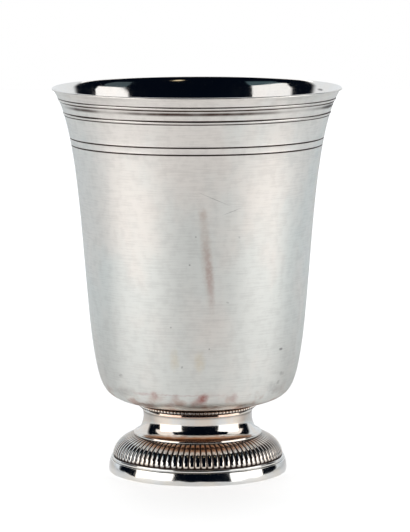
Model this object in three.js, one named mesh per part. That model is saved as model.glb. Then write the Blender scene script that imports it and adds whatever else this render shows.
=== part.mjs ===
// Silver tulip beaker on a gadrooned pedestal foot, in millimetres with +Z up.
// The origin is the middle of the foot, on the table. Seven pieces share one axis and
// are soldered in a stack: foot ring, gadroon ring, neck, collar ring, beaded wire,
// bowl and rim moulding. The foot is hollow and open underneath.

import * as THREE from 'three';

// Joints and facets
const solderGap = 0.1;
const facets = 56;

// Foot ring: a stepped moulding with a rounded edge, a leaning wall and a half-round fillet
const footRadius = 26.7;
const footHeight = 4.7;
const footEdgeRound = 0.4;
const footRestWidth = 1.7;
const footWallLean = 0.5;
const footFilletHeight = 1.0;
const footFilletSetback = 0.8;
const footFilletBulge = 0.25;
const footShelfThickness = 1.3;

// Gadroon ring: a quarter-round band of upright lobes with sharp valleys between them
const gadroonCount = 88;
const gadroonDepth = 0.55;
const gadroonHeight = 6.6;
const gadroonSetback = 1.2;
const gadroonReach = 6.1;
const gadroonUndercut = 0.15;
const gadroonSwellHeight = 0.3;
const gadroonShoulderHeight = 4.8;
const gadroonWall = 1.4;
const gadroonLedge = 0.2;

// Neck: a hollow spool that flares down to a thin flange
const neckHeight = 7.1;
const neckFlare = 2.95;
const neckFlangeEdge = 0.6;
const neckFlangeWidth = 2.0;
const neckWaistDrop = 1.6;
const neckTopFlare = 0.1;
const neckWall = 1.0;

// Collar ring under the bowl, with a half-round fillet below the beaded wire
const collarHeight = 2.2;
const collarFilletBulge = 0.2;

// Beaded wire round the collar, up against the bowl
const beadCount = 96;
const beadDiameter = 1.25;
const beadWaist = 0.75;

// Bowl: a raised tulip with a rounded bottom, a long wall and a flared lip
const bowlHeight = 94.4;
const bowlWall = 0.7;
const bottomAngle = 10;
const bottomFullness = 0.85;
const bellyRadius = 30.8;
const bellyHeight = 15.4;
const bellyAngle = 9.1;
const bellyFullness = 0.97;
const wallReach = 23.2;
const lipRadius = 42.9;
const lipAngle = 36;
const lipReach = 15;

// Two lines engraved round the bowl, measured down from the lip
const lineDrops = [16.8, 14.7];
const lineWidth = 0.45;
const lineDepth = 0.22;

// Rim moulding: a drawn strip with a thread along each edge, let into a shallow seat
const mouldingDrop = 2.9;
const mouldingHeight = 5.1;
const mouldingSeat = 0.25;
const mouldingThreadWidth = 0.8;
const mouldingThreadProud = 0.2;
const mouldingHollowProud = 0.05;

// Finishes
const silverColour = 0xc9c8c3;
const satinRoughness = 0.36;
const polishedRoughness = 0.14;

// Heights of the joints, from the table up
const gadroonSeat = footHeight;
const neckSeat = gadroonSeat + gadroonHeight;
const collarSeat = neckSeat + neckHeight;
const bowlSeat = collarSeat + collarHeight;
const lipHeight = bowlSeat + bowlHeight;

// Radii that neighbouring pieces share
const gadroonRadius = footRadius - gadroonSetback;
const gadroonTopRadius = gadroonRadius - gadroonReach;
const flangeRadius = gadroonTopRadius - gadroonLedge;
const flangeInner = flangeRadius - neckFlangeWidth;
const waistRadius = flangeRadius - neckFlare;
const collarRadius = waistRadius + neckTopFlare;
const collarInner = collarRadius - neckWall;
const gadroonBottomInner = gadroonRadius - gadroonUndercut - gadroonDepth - gadroonWall;

const radians = THREE.MathUtils.degToRad;

// A point of a profile: distance from the axis and height above the table.
function at(radius, height) {
  return new THREE.Vector2(radius, height);
}

// Points along an elliptical arc, both ends included, with angles in degrees.
function arc(centre, width, height, from, to, steps) {
  const start = radians(from);
  const end = radians(to);
  return new THREE.EllipseCurve(centre.x, centre.y, width, height, start, end, to < from).getPoints(steps);
}

// Moves each point of an open profile by a distance along its left-hand normal.
function offset(points, distance) {
  return points.map((point, index) => {
    const before = points[Math.max(index - 1, 0)];
    const after = points[Math.min(index + 1, points.length - 1)];
    const along = after.clone().sub(before).normalize();
    return at(point.x - along.y * distance, point.y + along.x * distance);
  });
}

// A profile revolved about the upright axis.
function revolve(profile, segments) {
  return new THREE.LatheGeometry(profile, segments).rotateX(Math.PI / 2);
}

// The same for a ring, whose section closes on itself.
function revolveRing(section, segments) {
  return revolve([...section, section[0].clone()], segments);
}

function silverMesh(name, geometry, roughness) {
  const material = new THREE.MeshStandardMaterial({ color: silverColour, metalness: 1, roughness });
  const mesh = new THREE.Mesh(geometry, material);
  mesh.name = name;
  return mesh;
}

function makeFootRing() {
  const restOuter = footRadius - footEdgeRound;
  const restInner = restOuter - footRestWidth;
  const filletFoot = footHeight - footFilletHeight;
  const filletRadius = footRadius - footFilletSetback - footFilletBulge;
  const filletMiddle = at(filletRadius, footHeight - footFilletHeight / 2);
  const shelfInner = gadroonBottomInner - solderGap;
  const shelfUnder = footHeight - footShelfThickness;
  const wall = new THREE.QuadraticBezierCurve(
    at(footRadius, footEdgeRound),
    at(footRadius, filletFoot / 2),
    at(footRadius - footWallLean, filletFoot),
  );
  const section = [
    at(restInner, 0),
    ...arc(at(restOuter, footEdgeRound), footEdgeRound, footEdgeRound, -90, 0, 2),
    ...wall.getPoints(2).slice(1),
    ...arc(filletMiddle, footFilletBulge, footFilletHeight / 2, -90, 90, 2),
    at(shelfInner, footHeight),
    at(shelfInner, shelfUnder),
    at(restInner, shelfUnder),
  ];
  return silverMesh('foot_ring', revolveRing(section, facets), polishedRoughness);
}

// The crest line of the lobes runs from the undercut at the foot over the swell to the neck.
function gadroonCrest() {
  const swell = at(gadroonRadius, gadroonSeat + gadroonSwellHeight);
  const shoulder = at(gadroonRadius, gadroonSeat + gadroonShoulderHeight);
  const top = at(gadroonTopRadius, neckSeat);
  const crown = new THREE.QuadraticBezierCurve(swell, shoulder, top);
  return [at(gadroonRadius - gadroonUndercut, gadroonSeat), ...crown.getPoints(3)];
}

function makeGadroonRing() {
  const columnsPerLobe = 3;
  const crest = gadroonCrest();
  const hollow = crest[2].clone().sub(at(gadroonDepth + gadroonWall, gadroonWall));
  const section = [...crest, at(flangeInner, neckSeat), hollow, at(gadroonBottomInner, gadroonSeat)];
  const geometry = revolveRing(section, gadroonCount * columnsPerLobe);
  // One column in three sinks into a valley, on the crest side alone. The sink is a share of
  // the radius, so the valleys grow shallower as the lobes narrow towards the neck.
  const pointsPerColumn = section.length + 1;
  const sink = 1 - gadroonDepth / gadroonRadius;
  const position = geometry.attributes.position;
  for (let index = 0; index < position.count; index += 1) {
    const column = Math.floor(index / pointsPerColumn);
    const place = (index % pointsPerColumn) % section.length;
    if (column % columnsPerLobe === 0 && place < crest.length) {
      position.setX(index, position.getX(index) * sink);
      position.setY(index, position.getY(index) * sink);
    }
  }
  return silverMesh('gadroon_ring', geometry, polishedRoughness);
}

function makeNeck() {
  const waistHeight = collarSeat - neckWaistDrop;
  const flangeTop = neckSeat + neckFlangeEdge;
  const innerWaist = waistRadius - neckWall;
  const outerScotia = arc(at(flangeRadius, waistHeight), neckFlare, waistHeight - flangeTop, 270, 180, 4);
  const innerFlare = flangeInner - innerWaist;
  const innerScotia = arc(at(flangeInner, waistHeight), innerFlare, waistHeight - neckSeat, 180, 270, 2);
  const section = [
    at(flangeRadius, neckSeat),
    ...outerScotia,
    at(collarRadius, collarSeat),
    at(collarInner, collarSeat),
    ...innerScotia,
  ];
  return silverMesh('neck', revolveRing(section, facets), polishedRoughness);
}

// The beaded wire's middle line lies a solder gap off the collar and off the sloping bowl.
const beadRadius = beadDiameter / 2;
const wireRadius = collarRadius + solderGap + beadRadius;
const wireHeight = bowlSeat
  + (wireRadius - collarRadius) * Math.tan(radians(bottomAngle))
  - (beadRadius + solderGap) / Math.cos(radians(bottomAngle));

function makeCollarRing() {
  const filletTop = wireHeight - beadRadius - solderGap;
  const filletHalf = (filletTop - collarSeat) / 2;
  const section = [
    at(collarInner, collarSeat),
    ...arc(at(collarRadius, collarSeat + filletHalf), collarFilletBulge, filletHalf, -90, 90, 3),
    at(collarRadius, bowlSeat),
    at(collarInner, bowlSeat),
  ];
  return silverMesh('collar_ring', revolveRing(section, facets), polishedRoughness);
}

function makeBeadedWire() {
  const sides = 5;
  const geometry = new THREE.TorusGeometry(wireRadius, beadRadius, sides, beadCount * 2);
  // The wire is full at each bead and nipped in between two beads.
  const position = geometry.attributes.position;
  const ring = beadCount * 2 + 1;
  const nip = beadWaist / beadDiameter;
  for (let index = 0; index < position.count; index += 1) {
    if ((index % ring) % 2 === 1) {
      const point = new THREE.Vector3().fromBufferAttribute(position, index);
      const middle = new THREE.Vector3(point.x, point.y, 0).setLength(wireRadius);
      point.sub(middle).multiplyScalar(nip).add(middle);
      position.setXYZ(index, point.x, point.y, point.z);
    }
  }
  geometry.translate(0, 0, wireHeight);
  return silverMesh('beaded_wire', geometry, polishedRoughness);
}

// The bowl's outer skin: a rounded bottom that runs into the wall at the belly.
const belly = at(bellyRadius, bowlSeat + bellyHeight);
const lip = at(lipRadius, lipHeight);

function bottomCurve() {
  const seatEdge = at(collarRadius, bowlSeat);
  const rise = Math.tan(radians(bottomAngle));
  const lean = Math.tan(radians(bellyAngle));
  // The tangents at the seat and at the belly cross at the corner of the bottom.
  const cornerRadius = (belly.x - lean * (belly.y - seatEdge.y + rise * seatEdge.x)) / (1 - lean * rise);
  const corner = at(cornerRadius, seatEdge.y + rise * (cornerRadius - seatEdge.x));
  return new THREE.CubicBezierCurve(
    seatEdge,
    seatEdge.clone().lerp(corner, bottomFullness),
    belly.clone().lerp(corner, bellyFullness),
    belly,
  );
}

// A step of some length along a line that leans outwards from upright by an angle in degrees.
function leaning(angle, length) {
  return at(Math.sin(radians(angle)), Math.cos(radians(angle))).multiplyScalar(length);
}

const wallCurve = new THREE.CubicBezierCurve(
  belly,
  belly.clone().add(leaning(bellyAngle, wallReach)),
  lip.clone().sub(leaning(lipAngle, lipReach)),
  lip,
);

// The wall's outer point at a height, or one standing proud of the skin or sunk into it.
// The place on the curve is found by halving its range.
function wallPoint(height, proud = 0) {
  let low = 0;
  let high = 1;
  for (let step = 0; step < 40; step += 1) {
    const middle = (low + high) / 2;
    if (wallCurve.getPoint(middle).y < height) {
      low = middle;
    } else {
      high = middle;
    }
  }
  return at(wallCurve.getPoint(low).x + proud, height);
}

const mouldingTop = lipHeight - mouldingDrop;
const mouldingFoot = mouldingTop - mouldingHeight;

function engravedLine(drop) {
  const height = lipHeight - drop;
  return [
    wallPoint(height - lineWidth / 2),
    wallPoint(height, -lineDepth),
    wallPoint(height + lineWidth / 2),
  ];
}

function makeBowl() {
  const bottom = bottomCurve().getPoints(6);
  const lines = lineDrops.map(engravedLine).flat();
  const plainTop = lines[0].y;
  const plainHeights = [0.25, 0.5, 0.75].map((share) => THREE.MathUtils.lerp(belly.y, plainTop, share));
  const plainWall = plainHeights.map((height) => wallPoint(height));
  const seat = [
    wallPoint(mouldingFoot),
    wallPoint(mouldingFoot, -mouldingSeat),
    wallPoint(mouldingFoot + mouldingHeight / 2, -mouldingSeat),
    wallPoint(mouldingTop, -mouldingSeat),
    wallPoint(mouldingTop),
  ];
  // The inner skin follows the outer one without its lines and its seat.
  const upperWall = [plainTop, mouldingFoot, mouldingTop].map((height) => wallPoint(height));
  const skin = [at(0, bowlSeat), ...bottom, ...plainWall, ...upperWall];
  const inside = offset(skin, bowlWall).slice(1).reverse();
  const edge = bowlWall / 2;
  const edgeMiddle = at(lipRadius - edge, lipHeight - edge);
  const profile = [
    at(0, bowlSeat),
    ...bottom,
    ...plainWall,
    ...lines,
    ...seat,
    ...arc(edgeMiddle, edge, edge, -lipAngle, 180 - lipAngle, 3),
    ...inside,
    at(0, bowlSeat + bowlWall),
  ];
  return silverMesh('bowl', revolve(profile, facets), satinRoughness);
}

function makeRimMoulding() {
  const back = solderGap - mouldingSeat;
  const foot = mouldingFoot + solderGap;
  const top = mouldingTop - solderGap;
  const middle = (foot + top) / 2;
  const section = [
    wallPoint(foot, back),
    wallPoint(foot, mouldingHollowProud),
    wallPoint(foot + mouldingThreadWidth / 2, mouldingThreadProud),
    wallPoint(foot + mouldingThreadWidth, mouldingHollowProud),
    wallPoint(middle),
    wallPoint(top - mouldingThreadWidth, mouldingHollowProud),
    wallPoint(top - mouldingThreadWidth / 2, mouldingThreadProud),
    wallPoint(top, mouldingHollowProud),
    wallPoint(top, back),
    wallPoint(middle, back),
  ];
  return silverMesh('rim_moulding', revolveRing(section, facets), satinRoughness);
}

const beaker = new THREE.Group();
beaker.add(
  makeFootRing(),
  makeGadroonRing(),
  makeNeck(),
  makeCollarRing(),
  makeBeadedWire(),
  makeBowl(),
  makeRimMoulding(),
);

export default beaker;
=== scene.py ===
"""Looks of a silver tulip beaker: seven turned pieces, their silver finishes and a plain studio.

Lengths in the classes are millimetres in the part's own frame, with +Z up and the beaker's front
towards -Y. Meshes and the studio are in metres.
"""

import logging
import math
from abc import ABC, abstractmethod
from dataclasses import dataclass, replace
from enum import Enum
from functools import cache, cached_property
from typing import ClassVar, NamedTuple

import bmesh
import bpy
import numpy as np
from bmesh.types import BMesh
from mathutils import Matrix, Vector, noise
from mathutils.geometry import interpolate_bezier


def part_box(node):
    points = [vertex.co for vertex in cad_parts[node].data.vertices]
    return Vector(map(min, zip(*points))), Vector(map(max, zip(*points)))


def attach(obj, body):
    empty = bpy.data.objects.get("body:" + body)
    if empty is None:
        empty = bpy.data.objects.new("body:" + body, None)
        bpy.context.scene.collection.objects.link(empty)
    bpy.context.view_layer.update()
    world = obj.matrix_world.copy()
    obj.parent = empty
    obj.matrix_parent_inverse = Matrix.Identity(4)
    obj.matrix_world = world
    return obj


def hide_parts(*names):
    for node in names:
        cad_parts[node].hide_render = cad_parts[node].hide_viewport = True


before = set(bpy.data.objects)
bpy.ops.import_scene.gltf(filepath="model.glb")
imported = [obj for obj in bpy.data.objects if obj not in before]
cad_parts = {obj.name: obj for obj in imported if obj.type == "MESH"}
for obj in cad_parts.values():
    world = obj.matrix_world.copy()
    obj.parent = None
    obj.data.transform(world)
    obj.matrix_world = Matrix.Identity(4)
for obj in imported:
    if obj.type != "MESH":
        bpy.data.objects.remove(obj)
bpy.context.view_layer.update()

LOG = logging.getLogger("beaker")
MM = 0.001
BODY = "root"
# Per-vertex darkening: patina in hollows and joints, and on some pieces painted shade.
TARNISH_AND_SHADE = "tarnish"
SIDE = "side"
REACH = "reach"
HARD_EDGE = math.radians(42)
SECTORS = 16
MERGE = 0.0005
NEAR = 0.01

Point = tuple[float, float]
Span = tuple[float, float]
Colour = tuple[float, float, float]
Socket = bpy.types.NodeSocket
Feeds = dict[str | int, Socket | float | tuple[float, ...]]


class Side(Enum):
    """The side of a piece that a face belongs to, and so which of its finishes the face takes."""

    OUTSIDE = 0
    INSIDE = 1


class Sum(Enum):
    """What a math node works out, under Blender's own names."""

    ADD = "ADD"
    SUBTRACT = "SUBTRACT"
    MULTIPLY = "MULTIPLY"
    DIVIDE = "DIVIDE"
    MAXIMUM = "MAXIMUM"
    ABSOLUTE = "ABSOLUTE"
    LESS_THAN = "LESS_THAN"


class Axis(Enum):
    """A direction of the part's frame."""

    RIGHT = "X"
    BACK = "Y"
    UP = "Z"


class Place(Enum):
    """What a pattern lies on: a piece's own coordinates, or the directions of the room."""

    PIECE = "Object"
    ROOM = "Generated"


class Station(NamedTuple):
    """A point of a turned profile: its radius and height, and how dark it is made from 0 to 1."""

    radius: float
    height: float
    tarnish: float = 0.0


def mix(ends: Span, share: float) -> float:
    """The value that lies a share of the way between two ends."""
    return ends[0] + share * (ends[1] - ends[0])


def bezier(start: Point, first: Point, second: Point, end: Point, steps: int) -> list[Point]:
    """Points along a cubic curve between two ends, with a handle for each, ends included."""
    flat = (Vector((*point, 0.0)) for point in (start, first, second, end))
    return [(point.x, point.y) for point in interpolate_bezier(*flat, steps + 1)]


def sweep(start: Point, corner: Point, end: Point, steps: int) -> list[Point]:
    """Points along a curve that leaves and arrives along the two sides of a corner."""
    first, second = (tuple(Vector(tip).lerp(Vector(corner), 2 / 3)) for tip in (start, end))
    return bezier(start, first, second, end, steps)


def arc(
    centre: Point, width: float, height: float, start: float, end: float, steps: int
) -> list[Point]:
    """Points along an elliptical arc, between two angles in degrees from the outward direction."""
    angles = np.radians(np.linspace(start, end, steps + 1))
    return [(centre[0] + width * math.cos(a), centre[1] + height * math.sin(a)) for a in angles]


def aim(start: Point, angle: float, reach: float) -> Point:
    """The point that lies a distance from another, at an angle in degrees from upright."""
    lean = math.radians(angle)
    return (start[0] + reach * math.sin(lean), start[1] + reach * math.cos(lean))


def offset(points: list[Point], distance: float) -> list[Point]:
    """Moves an open outline sideways.

    Args:
        points: The outline, in order.
        distance: How far each point moves to the left of the way the outline runs.

    Returns:
        The moved points.
    """
    moved = []
    for index, point in enumerate(points):
        before = Vector(points[max(index - 1, 0)])
        after = Vector(points[min(index + 1, len(points) - 1)])
        along = (after - before).normalized()
        moved.append((point[0] - along.y * distance, point[1] + along.x * distance))
    return moved


def stations(points: list[Point], tarnish: float = 0.0) -> list[Station]:
    """Makes stations of points that are equally darkened."""
    return [Station(*point, tarnish) for point in points]


def spin_round(mesh: BMesh, columns: int) -> None:
    """Spins an outline right round the upright axis: one sector first, then copies of it.

    Args:
        mesh: The outline, as vertices and edges. It becomes a closed skin.
        columns: How many columns the skin has, a multiple of SECTORS.
    """
    share = math.tau / SECTORS
    about = {"cent": (0, 0, 0), "axis": (0, 0, 1), "dvec": (0, 0, 0)}
    outline = mesh.verts[:] + mesh.edges[:]
    bmesh.ops.spin(mesh, geom=outline, angle=share, steps=columns // SECTORS, **about)
    sector = mesh.verts[:] + mesh.edges[:] + mesh.faces[:]
    bmesh.ops.spin(
        mesh, geom=sector, angle=math.tau - share, steps=SECTORS - 1, use_duplicate=True, **about
    )
    bmesh.ops.remove_doubles(mesh, verts=mesh.verts[:], dist=MERGE * MM)
    bmesh.ops.recalc_face_normals(mesh, faces=mesh.faces[:])


def turn(
    outside: list[Station], inside: list[Station], columns: int, closed: bool = True
) -> BMesh:
    """Spins a profile about the upright axis into a closed skin.

    Args:
        outside: The stations of the outside, in order.
        inside: The stations that follow, on the side that takes the second finish.
        columns: How many columns the skin has.
        closed: Whether the last station joins the first. An open profile ends on the axis.

    Returns:
        The skin, with its darkening, its side and the length along the profile on its vertices.
    """
    mesh = bmesh.new()
    tarnish = mesh.verts.layers.float.new(TARNISH_AND_SHADE)
    side = mesh.verts.layers.int.new(SIDE)
    reach = mesh.verts.layers.float.new(REACH)
    profile = outside + inside
    chain = []
    along = 0.0
    for index, station in enumerate(profile):
        vert = mesh.verts.new((station.radius * MM, 0.0, station.height * MM))
        if index:
            along += math.dist(station[:2], profile[index - 1][:2])
        vert[tarnish] = station.tarnish
        vert[side] = (Side.OUTSIDE if index < len(outside) else Side.INSIDE).value
        vert[reach] = along
        chain.append(vert)
    following = chain[1:] + chain[:1] if closed else chain[1:]
    for pair in zip(chain, following):
        mesh.edges.new(pair)
    spin_round(mesh, columns)
    return mesh


def add(name: str, data: bpy.types.ID) -> bpy.types.Object:
    """Adds an object to the scene.

    Args:
        name: The object's name.
        data: Its mesh, light or camera.

    Returns:
        The object, at the origin.
    """
    made = bpy.data.objects.new(name, data)
    bpy.context.scene.collection.objects.link(made)
    return made


def waver(mesh: BMesh, swing: float, size: float) -> None:
    """Pushes a skin in and out by a smooth noise, as hand work leaves it, with its heights kept.

    Args:
        mesh: The skin.
        swing: The most that a point moves.
        size: About how wide one swell is.
    """
    mesh.normal_update()
    for vert in mesh.verts:
        push = noise.noise(vert.co / (size * MM)) * swing * MM
        vert.co += Vector((vert.normal.x, vert.normal.y, 0.0)) * push


@dataclass(frozen=True)
class Mark:
    """A stain, speck, scratch, or painted shade or reflection: its middle, size, lean and look.

    Its middle lies across to the right of the axis and out in front of it. Strength is how much
    of the silver it hides, and ragged is how far its edge strays.
    """

    SINK: ClassVar[float] = 9.0
    EDGE: ClassVar[Span] = (0.0, 0.85)

    across: float
    out: float
    height: float
    width: float
    length: float
    lean: float
    colour: Colour
    strength: float
    ragged: float = 0.0


class Graph:
    """The nodes of a material or of the room's light, added and joined by short calls."""

    WAVE: ClassVar[float] = 4.0
    WAVE_DETAIL: ClassVar[float] = 1.5

    def __init__(self, tree: bpy.types.NodeTree, place: Place = Place.PIECE) -> None:
        """Starts on a tree of nodes, with the coordinates that its patterns lie on."""
        self.tree = tree
        self.place = self.node("ShaderNodeTexCoord").outputs[place.value]

    def feed(self, node: bpy.types.Node, feeds: Feeds) -> None:
        """Links sockets of a node to other sockets, or sets their values.

        Args:
            node: The node.
            feeds: What goes into its sockets, by name or number.
        """
        for name, value in feeds.items():
            if isinstance(value, Socket):
                self.tree.links.new(value, node.inputs[name])
            else:
                node.inputs[name].default_value = value

    def node(self, kind: str, feeds: Feeds | None = None, **settings: str) -> bpy.types.Node:
        """Adds a node.

        Args:
            kind: The node's type.
            feeds: What goes into its sockets.
            settings: Values of the node's own properties.

        Returns:
            The new node.
        """
        made = self.tree.nodes.new(kind)
        for name, value in settings.items():
            setattr(made, name, value)
        self.feed(made, feeds or {})
        return made

    def mottle(
        self, size: float, detail: float = 3.0, squeeze: float = 1.0, shift: float = 0.0
    ) -> Socket:
        """Noise on the piece's own coordinates.

        Args:
            size: About how wide one patch is.
            detail: How many finer layers the noise has.
            squeeze: How many times flatter a patch is than it is wide.
            shift: Moves the pattern, so that two noises differ.

        Returns:
            A value around one half.
        """
        scale = 1 / (size * MM)
        mapping = self.node("ShaderNodeMapping", {
            "Location": (shift, shift, shift),
            "Scale": (scale, scale, scale * squeeze),
            "Vector": self.place,
        })
        feeds = {"Scale": 1.0, "Detail": detail, "Vector": mapping.outputs["Vector"]}
        return self.node("ShaderNodeTexNoise", feeds).outputs[0]

    def wander(self, swing: float) -> Socket:
        """The piece's own coordinates, shaken by a noise so that an edge on them is ragged.

        Args:
            swing: About how far a point moves.

        Returns:
            The shaken coordinates.
        """
        wave = swing * self.WAVE * MM
        feeds = {"Scale": 1 / wave, "Detail": self.WAVE_DETAIL, "Vector": self.place}
        shake = self.node("ShaderNodeTexNoise", feeds).outputs["Color"]
        feeds = {0: shake, 1: (0.5, 0.5, 0.5)}
        middle = self.node("ShaderNodeVectorMath", feeds, operation="SUBTRACT").outputs[0]
        feeds = {0: middle, 1: (wave, wave, wave), 2: self.place}
        return self.node("ShaderNodeVectorMath", feeds, operation="MULTIPLY_ADD").outputs[0]

    def part(self, axis: Axis) -> Socket:
        """One of the three coordinates, in metres."""
        return self.node("ShaderNodeSeparateXYZ", {0: self.place}).outputs[axis.value]

    def attribute(self, name: str) -> Socket:
        """A value that is kept on the mesh."""
        return self.node("ShaderNodeAttribute", attribute_name=name).outputs["Fac"]

    def seen(self) -> Socket:
        """1 where the camera looks straight at the surface, and 0 in a reflection."""
        return self.node("ShaderNodeLightPath").outputs["Is Camera Ray"]

    def ease(
        self, value: Socket, start: float, end: float, low: float = 0.0, high: float = 1.0
    ) -> Socket:
        """Turns a value into a smooth step, low up to the start and high from the end on."""
        feeds = dict(enumerate((value, start, end, low, high)))
        return self.node("ShaderNodeMapRange", feeds, interpolation_type="SMOOTHSTEP").outputs[0]

    def join(self, how: Sum, first: Socket | float, second: Socket | float = 0.0) -> Socket:
        """Joins two values by a sum, or works one out alone."""
        return self.node("ShaderNodeMath", {0: first, 1: second}, operation=how.value).outputs[0]

    def blend(self, amount: Socket, under: Socket | Colour, over: Colour) -> Socket:
        """Lays a colour over another by an amount.

        Args:
            amount: From 0, only under, to 1, only over.
            under: The colour below.
            over: The colour above.

        Returns:
            The mixed colour.
        """
        plain = under if isinstance(under, Socket) else (*under, 1.0)
        feeds = {"Factor": amount, 6: plain, 7: (*over, 1.0)}
        return self.node("ShaderNodeMix", feeds, data_type="RGBA").outputs[2]

    def patch(self, mark: Mark) -> Socket:
        """A soft spot on the surface.

        Args:
            mark: Where the spot lies and how large it is.

        Returns:
            1 in the spot's middle and 0 outside it.
        """
        middle = (mark.across, -mark.out, mark.height)
        size = (mark.width / 2, mark.SINK, mark.length / 2)
        feeds = {
            "Location": tuple(x * MM for x in middle),
            "Rotation": (0.0, math.radians(mark.lean), 0.0),
            "Scale": tuple(x * MM for x in size),
            "Vector": self.wander(mark.ragged) if mark.ragged else self.place,
        }
        mapping = self.node("ShaderNodeMapping", feeds, vector_type="TEXTURE")
        feeds = {"Vector": mapping.outputs["Vector"]}
        ball = self.node("ShaderNodeTexGradient", feeds, gradient_type="SPHERICAL")
        return self.ease(ball.outputs["Fac"], *mark.EDGE)


class MaterialGraph(Graph):
    """The nodes of one material, round a principled shader."""

    def __init__(self, name: str) -> None:
        """Starts a new material."""
        self.material = bpy.data.materials.new(name)
        self.material.use_nodes = True
        super().__init__(self.material.node_tree)
        self.shader = self.tree.nodes["Principled BSDF"]


CLOUD_EDGE = (0.35, 0.65)
WARM_SHIFT = (-0.12, 0.12)
FILM_EDGE = (0.86, 1.26)
HAZE_SIZE = 4.5
HAZE_EDGE = (0.46, 0.70)
SEAT_RISE = (1.2, 0.2)
SEAT_SIZE = 3.0
SEAT_EDGE = (0.30, 0.58)
MARK_EDGE = (0.30, 0.60)
BROKEN = (0.65, 1.0)
SMEAR_SIZE = 6.0
SMEAR_EDGE = (0.32, 0.68)
SMEAR = (0.88, 1.1)
TARNISH_AND_SHADE_EDGE = (0.05, 0.8)
TARNISH_AND_SHADE_ROUGHNESS = 0.55
WORN_EDGE = (0.3, 0.7)
HAIRLINE_SIZE = 6.0


@dataclass(frozen=True)
class Silver:
    """One finish of old silver: its tones, its polish, its stains, painted shade and its dark
    hollows.
    """

    name: str
    cool: Colour
    warm: Colour
    cloud_size: float
    roughness: Span
    grain_size: float
    grain_depth: float
    hairline_depth: float
    film: float = 0.03
    tarnish: Colour = (0.065, 0.040, 0.032)
    stain: Colour = (0.53, 0.28, 0.16)
    haze: Colour = (0.50, 0.32, 0.26)
    stain_heights: Span | None = None
    warm_heights: Span | None = None
    marks: tuple[Mark, ...] = ()

    @cache
    def material(self) -> bpy.types.Material:
        """Builds the finish once, for all the pieces that share it.

        Returns:
            The material.
        """
        graph = MaterialGraph(self.name)
        grain = graph.mottle(self.grain_size, detail=5.0, shift=3.1)
        dark = graph.attribute(TARNISH_AND_SHADE)
        graph.feed(graph.shader, {
            "Metallic": 1.0,
            "Base Color": self.colour(graph, grain, dark),
            "Roughness": self.polish(graph, grain, dark),
            "Normal": self.relief(graph, grain),
        })
        return graph.material

    def colour(self, graph: Graph, grain: Socket, dark: Socket) -> Socket:
        """Clouds of two silver tones under a thin film, stains, marks, patina and painted shade.

        Args:
            graph: The material's nodes.
            grain: The fine noise that breaks up every edge.
            dark: How dark the surface is made, by patina and in places by painted shade.

        Returns:
            The base colour.
        """
        cloud = graph.mottle(self.cloud_size, detail=4.0, squeeze=0.6)
        if self.warm_heights:
            foot, top = (height * MM for height in self.warm_heights)
            warmer = graph.ease(graph.part(Axis.UP), foot, top, *WARM_SHIFT)
            cloud = graph.join(Sum.ADD, cloud, warmer)
        tone = graph.blend(graph.ease(cloud, *CLOUD_EDGE), self.cool, self.warm)
        blotches = graph.mottle(self.cloud_size / 8, detail=8.0, squeeze=0.8, shift=11.3)
        wiped = graph.mottle(self.cloud_size / 3, detail=3.0, squeeze=18.0, shift=1.7)
        film = graph.join(Sum.ADD, blotches, wiped)
        tone = graph.blend(graph.ease(film, *FILM_EDGE, 0.0, self.film), tone, self.tarnish)
        if self.stain_heights:
            tone = self.stained(graph, tone, *self.stain_heights)
        broken = graph.ease(grain, *MARK_EDGE, *BROKEN)
        for mark in self.marks:
            amount = graph.join(Sum.MULTIPLY, graph.patch(mark), mark.strength)
            tone = graph.blend(graph.join(Sum.MULTIPLY, amount, broken), tone, mark.colour)
        smear = graph.ease(graph.mottle(SMEAR_SIZE, shift=13.7), *SMEAR_EDGE, *SMEAR)
        black = graph.ease(graph.join(Sum.MULTIPLY, dark, smear), *TARNISH_AND_SHADE_EDGE)
        return graph.blend(black, tone, self.tarnish)

    def stained(self, graph: Graph, tone: Socket, full: float, none: float) -> Socket:
        """Adds a patchy haze low on the piece, and a broken stain along its seat.

        Args:
            graph: The material's nodes.
            tone: The colour below.
            full: The height at which the haze is full.
            none: The height at which it has gone.

        Returns:
            The stained colour.
        """
        height = graph.part(Axis.UP)
        low = graph.ease(height, none * MM, full * MM)
        patches = graph.ease(graph.mottle(HAZE_SIZE, shift=7.7), *HAZE_EDGE)
        tone = graph.blend(graph.join(Sum.MULTIPLY, low, patches), tone, self.haze)
        seat = graph.ease(height, *((full + rise) * MM for rise in SEAT_RISE))
        gaps = graph.mottle(SEAT_SIZE, shift=2.9)
        broken = graph.ease(gaps, *SEAT_EDGE, *BROKEN)
        return graph.blend(graph.join(Sum.MULTIPLY, seat, broken), tone, self.stain)

    def polish(self, graph: Graph, grain: Socket, dark: Socket) -> Socket:
        """Roughness that varies with the grain and rises where the surface is darkened.

        Args:
            graph: The material's nodes.
            grain: The fine noise of the surface.
            dark: How dark the surface is made, by patina and in places by painted shade.

        Returns:
            The roughness.
        """
        smudge = graph.join(Sum.MULTIPLY, graph.mottle(self.cloud_size / 2, shift=5.3), 0.5)
        worn = graph.join(Sum.ADD, smudge, graph.join(Sum.MULTIPLY, grain, 0.5))
        plain = graph.ease(worn, *WORN_EDGE, *self.roughness)
        dull = graph.join(Sum.MULTIPLY, dark, TARNISH_AND_SHADE_ROUGHNESS)
        return graph.join(Sum.MAXIMUM, plain, dull)

    def relief(self, graph: Graph, grain: Socket) -> Socket:
        """Fine pits and the hairlines that wiping leaves round the axis.

        Args:
            graph: The material's nodes.
            grain: The fine noise of the surface.

        Returns:
            The shading normal.
        """
        lines = graph.mottle(HAIRLINE_SIZE, detail=2.0, squeeze=24.0, shift=1.7)
        pits = graph.join(Sum.MULTIPLY, grain, self.grain_depth)
        hairlines = graph.join(Sum.MULTIPLY, lines, self.hairline_depth)
        height = graph.join(Sum.ADD, pits, hairlines)
        return graph.node("ShaderNodeBump", {"Distance": MM, "Height": height}).outputs["Normal"]


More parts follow.
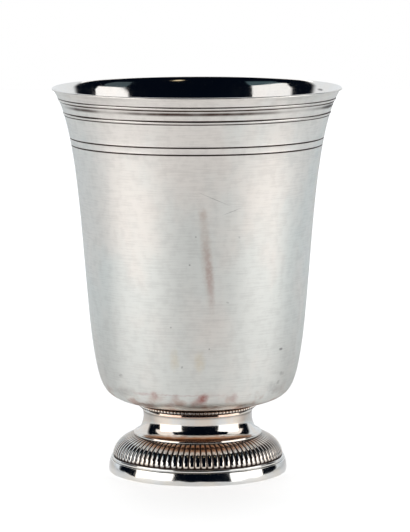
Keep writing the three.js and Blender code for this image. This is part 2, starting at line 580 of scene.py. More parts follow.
RUST = (0.43, 0.25, 0.17)
SOOT = (0.06, 0.05, 0.05)
PINK = (0.42, 0.20, 0.18)
HONEY = (0.74, 0.60, 0.36)
AMBER = (0.86, 0.42, 0.17)
PEACH = (0.70, 0.40, 0.27)

STREAK = (
    Mark(2.9, 34.0, 67.0, 4.6, 39.0, -5.0, RUST, 0.34, 0.2),
    Mark(3.5, 33.8, 63.0, 3.0, 24.0, -5.0, PINK, 0.28, 0.2),
    Mark(1.7, 34.8, 81.0, 3.4, 5.0, 0.0, RUST, 0.24, 0.3),
)
SCRATCHES = (
    Mark(5.0, 35.3, 85.4, 0.28, 14.0, 114.0, SOOT, 0.42),
    Mark(10.0, 33.7, 81.7, 0.28, 7.5, 70.0, SOOT, 0.45),
)
BLUSHES = (
    Mark(1.5, 28.2, 26.3, 3.8, 5.2, 40.0, PINK, 1.0, 0.12),
    Mark(0.2, 28.2, 25.4, 4.2, 7.0, 60.0, PINK, 0.4, 0.3),
    Mark(-12.6, 25.9, 27.0, 4.0, 2.8, 60.0, PINK, 0.5, 0.25),
    Mark(-6.2, 27.8, 26.7, 3.0, 2.4, 20.0, PINK, 0.34, 0.25),
    Mark(10.4, 26.5, 26.3, 3.4, 5.0, 25.0, PINK, 0.4, 0.3),
    Mark(-8.3, 26.0, 23.9, 3.0, 6.4, 85.0, PINK, 0.42, 0.4),
    Mark(-16.0, 24.0, 27.1, 1.6, 6.0, 88.0, PINK, 0.36, 0.25),
    Mark(-5.0, 27.6, 27.3, 0.7, 34.0, 90.0, PINK, 0.26, 0.2),
)
HONEY_SPOTS = (
    Mark(-6.7, 30.4, 38.0, 4.0, 9.0, 0.0, HONEY, 0.24, 0.4),
    Mark(0.6, 31.1, 37.6, 4.6, 9.0, 0.0, HONEY, 0.3, 0.4),
)
SPECKS = (
    Mark(24.4, 19.6, 39.6, 1.5, 1.2, 0.0, SOOT, 0.7),
    Mark(-2.2, 33.7, 66.3, 0.8, 0.8, 0.0, SOOT, 0.6),
    Mark(-0.4, 34.5, 74.5, 0.7, 0.7, 0.0, SOOT, 0.5),
    Mark(-7.7, 31.8, 47.8, 0.8, 0.7, 0.0, SOOT, 0.6),
    Mark(8.7, 32.7, 55.1, 1.4, 0.8, 20.0, SOOT, 0.35),
    Mark(3.4, 31.6, 41.5, 0.7, 0.7, 0.0, SOOT, 0.5),
    Mark(-4.5, 30.6, 36.0, 0.9, 1.2, 30.0, SOOT, 0.35),
    Mark(12.1, 34.1, 74.1, 1.0, 0.8, 40.0, SOOT, 0.3),
    Mark(-22.4, 20.7, 31.9, 1.8, 1.4, 60.0, SOOT, 0.3, 0.3),
)
# The two large soft patches are painted shade on the bowl's lower left and right; the two small
# ones are dark spots.
SMUDGES_AND_SIDE_SHADE = (
    Mark(-21.6, 18.9, 26.9, 4.6, 10.0, 74.0, SOOT, 0.24, 0.5),
    Mark(22.6, 18.6, 27.6, 4.6, 9.0, -58.0, SOOT, 0.2, 0.5),
    Mark(23.6, 18.3, 29.4, 1.8, 1.8, 0.0, SOOT, 0.3, 0.4),
    Mark(24.7, 17.7, 31.9, 1.9, 1.7, 0.0, SOOT, 0.25, 0.4),
)
LIP_SPECK = Mark(37.2, -17.6, 112.8, 2.4, 0.9, 0.0, SOOT, 0.9)
# Painted reflection: an amber band on the flange's top, standing for the stained bowl underside it
# mirrors.
FLANGE_REFLECTION_TINT = Mark(0.0, 18.2, 12.15, 52.0, 1.2, 0.0, AMBER, 0.6)
COLLAR_FLUSH = Mark(0.0, 16.4, 18.9, 60.0, 4.0, 0.0, PEACH, 0.75)
# Painted dark reflection on the front middle beads, standing for the dark room that they mirror.
BEAD_FRONT_SHADE = Mark(-1.0, 17.4, 20.2, 20.0, 3.6, 0.0, SOOT, 0.85)

SATIN = Silver(
    name="rubbed_silver", cool=(0.803, 0.812, 0.782), warm=(0.862, 0.82, 0.775),
    cloud_size=18.0, film=0.095, roughness=(0.31, 0.43),
    grain_size=0.9, grain_depth=0.017, hairline_depth=0.014,
    stain_heights=(21.0, 30.0), warm_heights=(45.0, 95.0),
    marks=(*STREAK, *SCRATCHES, *BLUSHES, *HONEY_SPOTS, *SPECKS, *SMUDGES_AND_SIDE_SHADE),
)
MIRROR = Silver(
    name="bright_inside", cool=(0.92, 0.90, 0.87), warm=(0.95, 0.90, 0.85), cloud_size=12.0,
    roughness=(0.05, 0.12), grain_size=1.5, grain_depth=0.001, hairline_depth=0.0006,
    marks=(LIP_SPECK,),
)
POLISHED = Silver(
    name="bright_silver", cool=(0.81, 0.82, 0.82), warm=(0.86, 0.83, 0.78), cloud_size=7.0,
    roughness=(0.05, 0.13), grain_size=0.8, grain_depth=0.0015, hairline_depth=0.0008,
)
HONEYED = replace(
    POLISHED, name="honeyed_silver", cool=(0.80, 0.80, 0.78), warm=(0.87, 0.77, 0.68)
)
# The neck's finish, with the painted amber reflection on its flange.
REFLECTION_TINTED = replace(HONEYED, name="reflection_tinted_silver", marks=(FLANGE_REFLECTION_TINT,))
PEACHED = replace(HONEYED, name="peached_silver", marks=(COLLAR_FLUSH,))
# The beads' finish, with the painted dark reflection on their front middle.
FRONT_SHADED = replace(HONEYED, name="front_shaded_silver", marks=(BEAD_FRONT_SHADE,))
DULL = Silver(
    name="dull_underside", cool=(0.55, 0.54, 0.52), warm=(0.52, 0.46, 0.39), cloud_size=6.0,
    roughness=(0.38, 0.55), grain_size=0.7, grain_depth=0.01, hairline_depth=0.006,
)


class Piece(ABC):
    """A soldered piece of the beaker: a turned mesh, its finishes and the solid it stands for."""

    name: ClassVar[str]
    node: ClassVar[str]
    slot: ClassVar[str] = "polished_silver"
    finishes: ClassVar[tuple[Silver, Silver]] = (POLISHED, DULL)

    @cached_property
    def base(self) -> float:
        """The height of the solid's underside."""
        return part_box(self.node)[0].z / MM

    @cached_property
    def top(self) -> float:
        """The height of the solid's top."""
        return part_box(self.node)[1].z / MM

    @cached_property
    def radius(self) -> float:
        """The solid's largest radius."""
        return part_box(self.node)[1].x / MM

    @abstractmethod
    def build(self) -> BMesh:
        """Models the piece in its place.

        Returns:
            The mesh.
        """

    def dress(self, piece: bpy.types.Object) -> None:
        """Gives each face the finish of its side.

        Args:
            piece: The piece's object.
        """
        data = piece.data
        for finish in self.finishes:
            data.materials.append(finish.material())
        sides = np.zeros(len(data.vertices), dtype=np.int32)
        data.attributes[SIDE].data.foreach_get("value", sides)
        for face in data.polygons:
            face.material_index = int(min(sides[index] for index in face.vertices))

    def make(self) -> bpy.types.Object:
        """Builds and dresses the piece, and puts it in its solid's stead.

        Returns:
            The finished object.
        """
        mesh = self.build()
        for face in mesh.faces:
            face.smooth = True
        for edge in mesh.edges:
            edge.smooth = edge.calc_face_angle(0.0) < HARD_EDGE
        data = bpy.data.meshes.new(self.name)
        mesh.to_mesh(data)
        mesh.free()
        piece = add(self.name, data)
        self.dress(piece)
        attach(piece, BODY)
        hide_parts(self.node)
        LOG.info("%s: %d faces for %s", self.name, len(data.polygons), self.node)
        return piece


@dataclass
class FootRing(Piece):
    """The stepped base moulding that stands on the table."""

    name = "stepped_foot"
    node = "foot_ring"

    columns: int = 288
    edge_round: float = 0.4
    rest_width: float = 1.7
    wall_lean: float = 0.5
    fillet_height: float = 1.0
    fillet_setback: float = 0.8
    fillet_bulge: float = 0.25
    step_round: float = 0.16
    shelf_ledge: float = 0.5
    shelf_inner: float = 23.3
    shelf_thickness: float = 1.3
    swing: float = 0.1
    swell: float = 4.5

    def build(self) -> BMesh:
        """Turns the rest, the leaning wall, the half-round fillet and the gadroons' shelf.

        Returns:
            The mesh.
        """
        rest_outer = self.radius - self.edge_round
        rest_inner = rest_outer - self.rest_width
        fillet_foot = self.top - self.fillet_height
        fillet_radius = self.radius - self.fillet_setback - self.fillet_bulge
        fillet_middle = (fillet_radius, self.top - self.fillet_height / 2)
        shoulder = self.radius - self.wall_lean
        shelf_under = self.top - self.shelf_thickness
        edge = arc((rest_outer, self.edge_round), self.edge_round, self.edge_round, -90, 0, steps=6)
        wall_top = (shoulder, fillet_foot - self.step_round)
        wall = sweep(edge[-1], (self.radius, fillet_foot / 2), wall_top, steps=10)
        step_end = (shoulder - self.step_round, fillet_foot)
        step = sweep(wall[-1], (shoulder, fillet_foot), step_end, steps=3)
        fillet = arc(fillet_middle, self.fillet_bulge, self.fillet_height / 2, -90, 90, steps=10)
        outside = [
            Station(rest_inner, 0.0),
            *stations(edge + wall[1:] + step[1:]),
            *stations(fillet[:1], tarnish=0.6),
            *stations(fillet[1:-1]),
            *stations(fillet[-1:], tarnish=0.1),
            Station(fillet[-1][0] - self.shelf_ledge, self.top, tarnish=0.7),
        ]
        inside = [
            Station(self.shelf_inner, self.top, tarnish=0.9),
            Station(self.shelf_inner, shelf_under, tarnish=0.3),
            Station(rest_inner, shelf_under, tarnish=0.4),
            Station(rest_inner, 0.0),
        ]
        mesh = turn(outside, inside, self.columns)
        waver(mesh, self.swing, self.swell)
        return mesh


@dataclass
class GadroonRing(Piece):
    """The quarter-round band of upright lobes with sharp valleys between them."""

    name = "lobed_band"
    node = "gadroon_ring"
    finishes = (HONEYED, DULL)

    count: int = 88
    columns_per_lobe: int = 12
    lobe_height: float = 0.46
    fullness: float = 0.97
    squareness: float = 2.1
    # Rises between which a lobe darkens: patina in the valleys, painted shade up the flanks.
    clean_rise: Span = (0.84, 0.93)
    dark_rise: Span = (0.50, 0.66)
    tip_height: float = 0.12
    tip_tarnish: float = 0.55
    shoulder_height: float = 4.8
    shoulder_setback: float = 0.45
    top_radius: float = 19.4
    hollow_top: float = 17.2
    hollow_middle: Point = (21.6, 9.0)
    hollow_foot: float = 23.4

    def build(self) -> BMesh:
        """Turns the band at the depth of its valleys, then raises the lobes on it.

        Returns:
            The mesh.
        """
        crest_foot = (self.radius, self.base + self.tip_height)
        shoulder = (self.radius - self.shoulder_setback, self.base + self.shoulder_height)
        crest = sweep(crest_foot, shoulder, (self.top_radius, self.top), steps=22)
        valley = offset(crest, self.lobe_height)
        hollow_end = (self.hollow_foot, self.base)
        hollow = sweep((self.hollow_top, self.top), self.hollow_middle, hollow_end, steps=8)
        foot = Station(valley[0][0], self.base, tarnish=1.0)
        outside = [foot, *stations(valley)]
        inside = [*stations(hollow, tarnish=0.3), foot]
        mesh = turn(outside, inside, self.count * self.columns_per_lobe)
        lobe_start = valley[0][1] - self.base
        lobe_end = lobe_start + sum(math.dist(a, b) for a, b in zip(valley, valley[1:]))
        self.raise_lobes(mesh, lobe_start, lobe_end)
        return mesh

    def raise_lobes(self, mesh: BMesh, start: float, end: float) -> None:
        """Lifts each lobe off the band, with a round lower tip, and darkens the valleys and flanks.

        Args:
            mesh: The plain band.
            start: Where the lobes begin along the profile.
            end: Where they end.
        """
        mesh.normal_update()
        tarnish = mesh.verts.layers.float[TARNISH_AND_SHADE]
        reach = mesh.verts.layers.float[REACH]
        side = mesh.verts.layers.int[SIDE]
        pitch = math.tau / self.count
        for vert in mesh.verts:
            on_lobes = start - NEAR <= vert[reach] <= end + NEAR
            if vert[side] == Side.INSIDE.value or not on_lobes:
                continue
            radius = math.hypot(vert.co.x, vert.co.y)
            angle = math.atan2(vert.co.y, vert.co.x)
            lobe = round(angle / pitch)
            across = math.sin((angle / pitch - lobe) * math.pi)
            half_width = pitch / 2 * radius / MM
            tip = max(0.0, 1.0 - (vert[reach] - start) / half_width)
            edge = abs(self.fullness * across) ** self.squareness + tip ** self.squareness
            rise = max(0.0, 1.0 - edge) ** (1 / self.squareness)
            height = self.lobe_height * radius / MM / self.radius
            turned = (lobe + across / 2) * pitch
            vert.co.x = radius * math.cos(turned)
            vert.co.y = radius * math.sin(turned)
            vert.co += vert.normal * (rise * height * MM)
            # Valley darkening is patina; where it reaches up the flanks it is painted shade that
            # narrows the highlights.
            share = (vert[reach] - start) / (end - start)
            clean = mix(self.clean_rise, share)
            valley_tarnish_and_shade = (clean - rise) / (clean - mix(self.dark_rise, share))
            vert[tarnish] = min(1.0, max(0.0, valley_tarnish_and_shade, self.tip_tarnish * tip))


@dataclass
class Neck(Piece):
    """The hollow spool of the foot, with a thin flange at the bottom."""

    name = "spool_neck"
    node = "neck"
    finishes = (REFLECTION_TINTED, DULL)

    columns: int = 288
    flare: float = 2.95
    flange_edge: float = 0.6
    flange_round: float = 0.15
    flange_lean: float = 0.065
    flange_soil: float = 0.12
    flange_width: float = 2.0
    flange_rows: int = 5
    waist_drop: float = 1.6
    waist_rows: int = 4
    top_flare: float = 0.1
    wall: float = 1.0
    swing: float = 0.02
    swell: float = 6.0

    def build(self) -> BMesh:
        """Turns the flange, the hollow curve up to the waist and the inside.

        Returns:
            The mesh.
        """
        waist_height = self.top - self.waist_drop
        waist = self.radius - self.flare
        flange_top = self.base + self.flange_edge
        flange_inner = self.radius - self.flange_width
        inner_waist = waist - self.wall
        top_radius = waist + self.top_flare
        edge_middle = (
            self.radius - self.flange_lean - self.flange_round,
            flange_top - self.flange_round,
        )
        edge = arc(edge_middle, self.flange_round, self.flange_round, 0, 80, steps=4)
        scotia_middle = (self.radius, waist_height)
        scotia = arc(scotia_middle, self.flare, waist_height - flange_top, 264, 180, steps=22)
        inside_middle = (flange_inner, waist_height)
        inside_width = flange_inner - inner_waist
        hollow = arc(inside_middle, inside_width, waist_height - self.base, 180, 270, steps=8)
        outside = [
            Station(self.radius, self.base, tarnish=0.8),
            Station(self.radius, self.base + self.flange_soil),
            *stations(edge),
            *stations(scotia[:self.flange_rows], tarnish=0.16),
            *stations(scotia[self.flange_rows:-self.waist_rows]),
            *stations(scotia[-self.waist_rows:], tarnish=0.05),
            Station((waist + top_radius) / 2, (waist_height + self.top) / 2, tarnish=0.1),
            Station(top_radius, self.top, tarnish=0.5),
        ]
        inside = [
            Station(top_radius - self.wall, self.top, tarnish=0.5),
            *stations(hollow, tarnish=0.25),
            Station(self.radius, self.base, tarnish=0.8),
        ]
        mesh = turn(outside, inside, self.columns)
        waver(mesh, self.swing, self.swell)
        return mesh


@dataclass
class CollarRing(Piece):
    """The plain ring that joins the bowl to the neck, with a flattened fillet at its foot."""

    name = "plain_collar"
    node = "collar_ring"
    finishes = (PEACHED, DULL)

    columns: int = 288
    fillet_bulge: float = 0.2
    fillet_height: float = 0.87
    fillet_flatness: float = 4.0
    fillet_lean: float = 0.14
    fillet_rows: int = 17
    wall: float = 1.0

    def build(self) -> BMesh:
        """Turns the fillet and the plain seat of the beads.

        Returns:
            The mesh.
        """
        plain = self.radius - self.fillet_bulge
        half = self.fillet_height / 2
        fillet = []
        for share in np.linspace(-1.0, 1.0, self.fillet_rows):
            fall = abs(share) ** self.fillet_flatness
            bulge = self.fillet_bulge * (1.0 - fall) ** (1 / self.fillet_flatness)
            radius = plain + bulge - self.fillet_lean * share * half
            fillet.append((radius, self.base + half * (1.0 + share)))
        inner = plain - self.wall
        outside = [
            *stations(fillet[:1], tarnish=0.8),
            *stations(fillet[1:-1]),
            *stations(fillet[-1:], tarnish=0.9),
            Station(plain, self.top, tarnish=1.0),
        ]
        inside = [
            Station(inner, self.top, tarnish=0.3),
            Station(inner, self.base, tarnish=0.3),
            Station(plain, self.base, tarnish=0.8),
        ]
        return turn(outside, inside, self.columns)


@dataclass
class BeadedWire(Piece):
    """The ring of small beads that hides the joint under the bowl."""

    name = "bead_wire"
    node = "beaded_wire"
    finishes = (FRONT_SHADED, DULL)

    count: int = 96
    columns_per_bead: int = 8
    sides: int = 12
    bead: float = 1.25
    # Where the nips darken, by patina and painted shade, and where the undersides take painted
    # shade.
    nip_darkening_start: float = 0.86
    nip_darkening_full: float = 0.45
    underside_shade_start: float = 0.1
    underside_shade_full: float = 0.75

    def build(self) -> BMesh:
        """Spins a wire, nips it in between the beads and darkens the nips and the beads'
        undersides.

        Returns:
            The mesh.
        """
        bead_radius = self.bead / 2 * MM
        wire_radius = (self.radius - self.bead / 2) * MM
        height = (self.base + self.top) / 2 * MM
        upright = Matrix.Rotation(math.pi / 2, 4, "X")
        place = Matrix.Translation((wire_radius, 0.0, height)) @ upright
        mesh = bmesh.new()
        tarnish = mesh.verts.layers.float.new(TARNISH_AND_SHADE)
        mesh.verts.layers.int.new(SIDE)
        bmesh.ops.create_circle(mesh, radius=bead_radius, segments=self.sides, matrix=place)
        spin_round(mesh, self.count * self.columns_per_bead)
        pitch = math.tau / self.count
        for vert in mesh.verts:
            angle = math.atan2(vert.co.y, vert.co.x)
            along = (angle - round(angle / pitch) * pitch) * wire_radius / bead_radius
            full = math.sqrt(max(0.0, 1.0 - along ** 2))
            middle = Vector((wire_radius * math.cos(angle), wire_radius * math.sin(angle), height))
            vert.co = middle.lerp(vert.co, full)
            # The nips darken with patina and painted shade; the lower half of each bead takes
            # painted shade.
            under = (height - vert.co.z) / bead_radius
            nip_tarnish_and_shade = (self.nip_darkening_start - full) / (self.nip_darkening_start - self.nip_darkening_full)
            underside_shade = (under - self.underside_shade_start) / (self.underside_shade_full - self.underside_shade_start)
            vert[tarnish] = min(1.0, max(0.0, nip_tarnish_and_shade, underside_shade))
        return mesh


@dataclass
class Bowl(Piece):
    """The raised tulip cup, with two engraved lines and a shallow seat for the moulding."""

    name = "raised_bowl"
    node = "bowl"
    slot = "satin_silver"
    finishes = (SATIN, MIRROR)

    columns: int = 320
    wall: float = 0.7
    seat_radius: float = 16.35
    seat_rows: int = 2
    bottom_angle: float = 10.0
    bottom_fullness: float = 0.85
    belly_radius: float = 30.8
    belly_height: float = 15.4
    belly_angle: float = 9.1
    belly_fullness: float = 0.97
    wall_reach: float = 23.2
    lip_angle: float = 36.0
    lip_reach: float = 15.0
    lip_outside: int = 3
    line_drops: Span = (16.8, 14.7)
    line_width: float = 0.42
    line_depth: float = 0.2
    line_sides: tuple[float, ...] = (1.8, 1.1, 0.5, 0.0)
    line_depths: tuple[float, ...] = (0.0, -0.1, 0.75, 1.0)
    line_tarnish: tuple[float, ...] = (0.0, 0.1, 1.0, 1.0)
    moulding_drop: float = 2.9
    moulding_height: float = 5.1
    moulding_seat: float = 0.25
    soiled_edge: float = 0.2
    swing: float = 0.05
    swell: float = 16.0

    @property
    def belly(self) -> Point:
        """Where the rounded bottom runs into the wall."""
        return (self.belly_radius, self.base + self.belly_height)

    @property
    def moulding_top(self) -> float:
        """The upper edge of the moulding's seat."""
        return self.top - self.moulding_drop

    @property
    def bottom(self) -> list[Point]:
        """The outline from the seat on the collar to the belly."""
        seat = Vector((self.seat_radius, self.base))
        belly = Vector(self.belly)
        rise = math.tan(math.radians(self.bottom_angle))
        lean = math.tan(math.radians(self.belly_angle))
        corner_radius = (belly.x - lean * (belly.y - seat.y + rise * seat.x)) / (1 - lean * rise)
        corner = Vector((corner_radius, seat.y + rise * (corner_radius - seat.x)))
        first = seat.lerp(corner, self.bottom_fullness)
        second = belly.lerp(corner, self.belly_fullness)
        return bezier(tuple(seat), tuple(first), tuple(second), tuple(belly), steps=28)

    @cached_property
    def flank(self) -> list[Point]:
        """The outline from the belly to the lip."""
        lip = (self.radius, self.top)
        first = aim(self.belly, self.belly_angle, self.wall_reach)
        second = aim(lip, self.lip_angle, -self.lip_reach)
        return bezier(self.belly, first, second, lip, steps=400)

    def point(self, height: float, proud: float = 0.0) -> Point:
        """The wall's point at a height, or one that stands proud of it."""
        radii, heights = zip(*self.flank)
        return (float(np.interp(height, heights, radii)) + proud, height)

    def rows(self, low: float, high: float, count: int, proud: float = 0.0) -> list[Point]:
        """Points of the wall at even heights, both ends included."""
        return [self.point(height, proud) for height in np.linspace(low, high, count)]

    def line(self, height: float) -> list[Station]:
        """One engraved line: two raised lips and a dark V between them.

        Args:
            height: The height of its middle.

        Returns:
            Its stations, from below.
        """
        lower = []
        upper = []
        for aside, depth, tarnish in zip(self.line_sides, self.line_depths, self.line_tarnish):
            shift = self.line_width / 2 * aside
            proud = -self.line_depth * depth
            lower.append(Station(*self.point(height - shift, proud), tarnish))
            upper.append(Station(*self.point(height + shift, proud), tarnish))
        return lower + upper[-2::-1]

    def build(self) -> BMesh:
        """Turns the outside, the rounded lip and the inside.

        Returns:
            The mesh.
        """
        bottom = self.bottom
        lower, upper = (self.line(self.top - drop) for drop in self.line_drops)
        foot = self.moulding_top - self.moulding_height
        wall = self.rows(self.belly[1], lower[0].height, count=44)[1:-1]
        frieze = self.rows(upper[-1].height, foot, count=6)[1:-1]
        seat = self.rows(foot, self.moulding_top, count=4, proud=-self.moulding_seat)
        lip = self.rows(self.moulding_top, self.top - self.wall / 2, count=5)
        edge = self.wall / 2
        rim_middle = (self.radius - edge, self.top - edge)
        rim = arc(rim_middle, edge, edge, -self.lip_angle, 180 - self.lip_angle, steps=8)
        plain = [(0.0, self.base), *bottom, *wall, *frieze, *lip[:-1]]
        lining = offset(plain, self.wall)[1:][::-1]
        outside = [
            Station(0.0, self.base),
            # Painted shade under the bowl round its seat on the collar, which the beads mirror.
            *stations(bottom[:self.seat_rows], tarnish=0.9),
            *stations(bottom[self.seat_rows:] + wall),
            *lower,
            *upper,
            *stations(frieze),
            Station(*self.point(foot - self.soiled_edge)),
            Station(*self.point(foot), tarnish=0.9),
            *stations(seat, tarnish=1.0),
            Station(*lip[0], tarnish=0.9),
            Station(*self.point(self.moulding_top + self.soiled_edge)),
            *stations(lip[1:-1] + rim[:self.lip_outside]),
        ]
        inside = [
            *stations(rim[self.lip_outside:] + lining),
            Station(0.0, self.base + self.wall),
        ]
        mesh = turn(outside, inside, self.columns, closed=False)
        waver(mesh, self.swing, self.swell)
        return mesh


@dataclass
class RimMoulding(Piece):
    """The drawn strip under the lip: a thread along each edge, a shallow hollow between them."""

    name = "reeded_rim"
    node = "rim_moulding"
    slot = "satin_silver"
    finishes = (SATIN, DULL)

    bowl: Bowl
    columns: int = 320
    gap: float = 0.1
    thread_width: float = 0.8
    thread_proud: float = 0.2
    groove_depth: float = 0.1
    groove_width: float = 0.2
    hollow_depth: float = 0.04
    hollow_span: Span = (0.12, 0.88)
    hollow_rows: int = 13
    hollow_tarnish: float = 0.62
    smear_middle: float = 0.66
    smear_spread: float = 0.17
    smear_size: float = 17.0
    smear_shift: float = 237.3
    smear_mean: float = 0.7
    smear_swing: float = 1.1
    edge_tarnish: float = 0.9
    thread_tarnish: float = 0.3

    def thread(self, foot: float) -> list[Station]:
        """A half-round thread.

        Args:
            foot: The height of its lower edge.

        Returns:
            Its stations, from below.
        """
        half = self.thread_width / 2
        rise = self.groove_depth + self.thread_proud
        curve = arc((foot + half, -self.groove_depth), half, rise, 180, 0, steps=8)
        found = [Station(*self.bowl.point(height, proud)) for height, proud in curve]
        for step, dark in enumerate((1.0, self.edge_tarnish, self.thread_tarnish)):
            for end in (step, -1 - step):
                found[end] = found[end]._replace(tarnish=dark)
        return found

    def hollow(self, foot: float, top: float) -> list[Station]:
        """The shallow hollow between the threads, dark in a band above its middle.

        Args:
            foot: The height of its lower edge.
            top: The height of its upper edge.

        Returns:
            Its stations, from below.
        """
        found = []
        for share in np.linspace(*self.hollow_span, self.hollow_rows):
            depth = self.hollow_depth * math.sin(share * math.pi)
            aside = (share - self.smear_middle) / self.smear_spread
            dark = self.hollow_tarnish * math.exp(-aside ** 2)
            found.append(Station(*self.bowl.point(foot + share * (top - foot), -depth), dark))
        return found

    def groove(self, height: float) -> Station:
        """The dark groove beside a thread."""
        return Station(*self.bowl.point(height, -self.hollow_depth), self.edge_tarnish)

    def build(self) -> BMesh:
        """Turns the two threads, the hollow and the back that lies in the bowl's seat.

        Returns:
            The mesh.
        """
        top = self.bowl.moulding_top - self.gap
        foot = self.bowl.moulding_top - self.bowl.moulding_height + self.gap
        back = self.gap - self.bowl.moulding_seat
        hollow_foot = foot + self.thread_width
        hollow_top = top - self.thread_width
        behind = [self.bowl.point(height, back) for height in (top, (foot + top) / 2, foot)]
        outside = [
            *self.thread(foot),
            self.groove(hollow_foot + self.groove_width),
            *self.hollow(hollow_foot, hollow_top),
            self.groove(hollow_top - self.groove_width),
            *self.thread(hollow_top),
        ]
        mesh = turn(outside, stations(behind, tarnish=1.0), self.columns)
        tarnish = mesh.verts.layers.float[TARNISH_AND_SHADE]
        for vert in mesh.verts:
            if vert[tarnish] < self.edge_tarnish:
                place = vert.co / (self.smear_size * MM) + Vector((0.0, 0.0, self.smear_shift))
                vert[tarnish] *= max(0.0, self.smear_mean + self.smear_swing * noise.noise(place))
        waver(mesh, self.bowl.swing, self.bowl.swell)
        return mesh


@dataclass(frozen=True)
class Softbox:
    """A plain rectangular studio light that stands round the beaker and faces it."""

    name: str
    bearing: float
    distance: float
    middle: float
    width: float
    height: float
    glow: float
    tint: Colour = (1.0, 1.0, 1.0)

    def place(self) -> None:
        """Adds the light, at its bearing round from the camera's side, turned to the beaker."""
        light = bpy.data.lights.new(self.name, "AREA")
        light.shape = "RECTANGLE"
        light.size = self.width
        light.size_y = self.height
        light.energy = self.glow * math.pi * self.width * self.height
        light.color = self.tint
        lamp = add(self.name, light)
        turn_round = math.radians(self.bearing)
        across = Vector((math.sin(turn_round), -math.cos(turn_round), 0.0)) * self.distance
        lamp.location = across + Vector((0.0, 0.0, self.middle))
        lamp.rotation_euler = (-across).to_track_quat("-Z", "Y").to_euler()
        lamp.visible_camera = False


@dataclass(frozen=True)
class Camera:
    """The photograph's viewpoint: in front of the beaker, a little above it, with a long lens."""

    distance: float = 0.9133
    height: float = 0.1834
    pitch: float = 7.60
    roll: float = 0.15
    lens: float = 209.2
    shift: float = 0.0145

    def place(self) -> None:
        """Adds the camera and makes it the scene's own."""
        data = bpy.data.cameras.new("camera")
        data.lens = self.lens
        data.shift_x = self.shift
        data.clip_start = 0.01
        data.clip_end = 20.0
        camera = add("camera", data)
        stand = Matrix.Translation((0.0, -self.distance, self.height))
        tilt = Matrix.Rotation(math.radians(90 - self.pitch), 4, "X")
        level = Matrix.Rotation(math.radians(-self.roll), 4, "Z")
        camera.matrix_world = stand @ tilt @ level
        bpy.context.scene.camera = camera


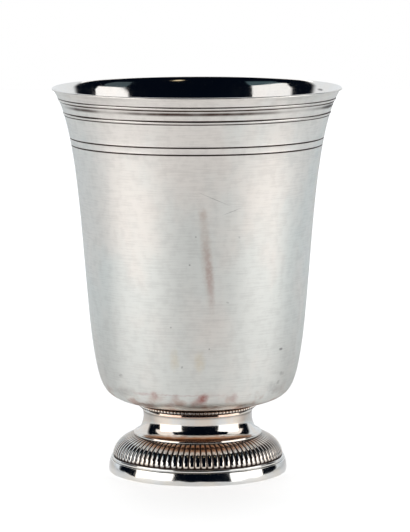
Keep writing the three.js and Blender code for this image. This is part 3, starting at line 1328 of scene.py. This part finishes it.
@dataclass(frozen=True)
class Studio:
    """A white floor in a plain studio, dark behind the camera and white behind the beaker."""

    floor_radius: float = 1.5
    floor_colour: Colour = (0.88, 0.88, 0.88)
    floor_roughness: float = 0.6
    # The floor's glow to the camera is dimmer close to the foot: a painted shadow round the foot.
    page_near: Span = (0.03, 0.68)
    page_middle: Span = (0.10, 0.77)
    page_far: Span = (0.50, 1.05)
    # The floor's glow in the silver: dimmer close behind the beaker, a painted shadow, and brighter
    # to the sides, painted light; far behind it is tinted cool.
    mirrored_front: Span = (0.45, 0.43)
    mirrored_behind: Span = (0.22, 0.43)
    mirrored_reach: Span = (0.05, 0.30)
    behind_edge: Span = (-0.02, 0.03)
    side_edge: Span = (0.45, 0.65)
    side_glow: float = 0.05
    distant_tint: Colour = (0.80, 0.93, 1.0)
    distant_reach: Span = (0.10, 0.40)
    white: Colour = (1.0, 1.0, 1.0)
    dark: Colour = (0.001, 0.0024, 0.006)
    back_glow: float = 0.86
    back_tint: Colour = (0.925, 0.965, 1.0)
    back_edge: Span = (0.48, 0.60)
    back_lean: tuple[float, float, float] = (-0.06, 1.0, -0.15)
    softboxes: tuple[Softbox, ...] = (
        Softbox("left_low", -59.5, 0.85, 0.22, 0.81, 0.44, 1.66, (1.0, 0.98, 0.95)),
        Softbox("right_low", 69.0, 0.85, 0.22, 0.80, 0.44, 1.57, (1.0, 0.98, 0.95)),
        Softbox("left_high", -77.0, 0.85, 0.57, 0.65, 0.58, 0.95),
        Softbox("right_high", 88.0, 0.85, 0.465, 0.56, 0.45, 1.05),
        Softbox("left_veil", -74.0, 0.87, 1.05, 0.60, 0.40, 0.10, (0.55, 0.88, 1.0)),
        Softbox("right_veil", 86.0, 0.87, 0.92, 0.42, 0.46, 0.09, (0.65, 0.90, 1.0)),
        Softbox("small_lamp", 25.0, 0.54, 1.18, 0.11, 0.46, 0.75, (1.0, 0.85, 0.55)),
        Softbox("back_top", 180.0, 0.9, 1.3, 1.4, 0.8, 1.0),
    )

    def place_floor(self) -> None:
        """Adds the floor: a bright white page to the camera, and a dimmer one in the silver."""
        mesh = bmesh.new()
        bmesh.ops.create_circle(mesh, cap_ends=True, radius=self.floor_radius, segments=64)
        data = bpy.data.meshes.new("floor")
        mesh.to_mesh(data)
        mesh.free()
        floor = add("floor", data)
        graph = MaterialGraph("white_floor")
        colour = {"Base Color": (*self.floor_colour, 1.0), "Roughness": self.floor_roughness}
        graph.feed(graph.shader, colour)
        self.light_floor(graph)
        data.materials.append(graph.material)

    def light_floor(self, graph: MaterialGraph) -> None:
        """Makes the floor glow, as a page to the camera and dimmer in the silver, with painted
        shadows.

        Args:
            graph: The floor's nodes.
        """
        length = graph.node("ShaderNodeVectorMath", {0: graph.place}, operation="LENGTH")
        reach = length.outputs["Value"]
        near, dim = self.page_near
        middle, plain = self.page_middle
        far, full = self.page_far
        close = graph.ease(reach, near, middle, dim, plain)
        page = graph.join(Sum.ADD, close, graph.ease(reach, middle, far, 0.0, full - plain))
        seen = graph.seen()
        behind = graph.ease(graph.part(Axis.BACK), *self.behind_edge)
        aside = graph.join(Sum.DIVIDE, graph.join(Sum.ABSOLUTE, graph.part(Axis.RIGHT)), reach)
        lit = graph.ease(aside, *self.side_edge, 0.0, self.side_glow)
        front = graph.ease(reach, *self.mirrored_reach, *self.mirrored_front)
        front = graph.join(Sum.ADD, front, lit)
        back = graph.ease(reach, *self.mirrored_reach, *self.mirrored_behind)
        change = graph.join(Sum.MULTIPLY, behind, graph.join(Sum.SUBTRACT, back, front))
        mirrored = graph.join(Sum.ADD, front, change)
        glow = graph.join(Sum.MAXIMUM, graph.join(Sum.MULTIPLY, page, seen), mirrored)
        unseen = graph.join(Sum.MULTIPLY, graph.join(Sum.SUBTRACT, 1.0, seen), behind)
        cold = graph.join(Sum.MULTIPLY, unseen, graph.ease(reach, *self.distant_reach))
        tint = graph.blend(cold, self.white, self.distant_tint)
        graph.feed(graph.shader, {"Emission Color": tint, "Emission Strength": glow})

    def light_room(self) -> None:
        """Makes the room: white behind and below, dark elsewhere, and white to the camera."""
        world = bpy.data.worlds.new("room")
        world.use_nodes = True
        bpy.context.scene.world = world
        graph = Graph(world.node_tree, Place.ROOM)
        feeds = {0: graph.place, 1: self.back_lean}
        facing = graph.node("ShaderNodeVectorMath", feeds, operation="DOT_PRODUCT")
        behind = graph.ease(facing.outputs["Value"], *self.back_edge)
        below = graph.join(Sum.LESS_THAN, graph.part(Axis.UP), 0.0)
        lit = tuple(part * self.back_glow for part in self.back_tint)
        room = graph.blend(graph.join(Sum.MAXIMUM, behind, below), self.dark, lit)
        page = graph.blend(graph.seen(), room, self.white)
        graph.feed(graph.tree.nodes["Background"], {"Color": page})

    def build(self) -> None:
        """Adds the floor, the room and the lights, and shows colours as they are."""
        self.place_floor()
        self.light_room()
        for softbox in self.softboxes:
            softbox.place()
        bpy.context.scene.view_settings.view_transform = "Standard"
        LOG.info("studio with %d softboxes", len(self.softboxes))


def main() -> None:
    """Sets up the camera and the studio, and makes the pieces from the table up."""
    logging.basicConfig(level=logging.INFO, format="%(name)s: %(message)s")
    LOG.info("frame with %d solids", len(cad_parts))
    Camera().place()
    Studio().build()
    bowl = Bowl()
    pieces: tuple[Piece, ...] = (
        FootRing(), GadroonRing(), Neck(), CollarRing(), BeadedWire(), bowl, RimMoulding(bowl),
    )
    for piece in pieces:
        piece.make()


if __name__ == "__main__":
    main()
